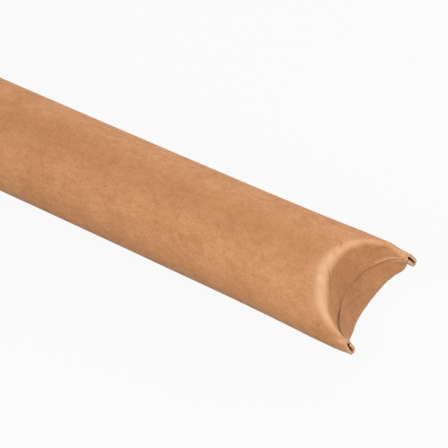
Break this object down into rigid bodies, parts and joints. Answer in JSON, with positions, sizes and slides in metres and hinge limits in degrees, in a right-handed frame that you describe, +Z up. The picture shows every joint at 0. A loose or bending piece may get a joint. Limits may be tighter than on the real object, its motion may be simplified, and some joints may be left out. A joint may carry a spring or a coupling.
{
  "type": "cardboard mailing tube",
  "caption": "Round cardboard mailing tube, each end closed by two crimped flaps that fold in along curved creases between two ears.",
  "frame": {"origin": "centre of the bounding box's bottom, under the middle of the tube, on the surface it lies on", "axes": "+X along the tube, +Z up; the ears lie 29.9 degrees from level, as the tube came to rest"},
  "size_m": [0.352, 0.0552, 0.0538],
  "materials": {
    "card": "matt kraft card with a faint calendered sheen"
  },
  "bodies": {
    "root": {"tube": "card"}
  },
  "joints": []
}
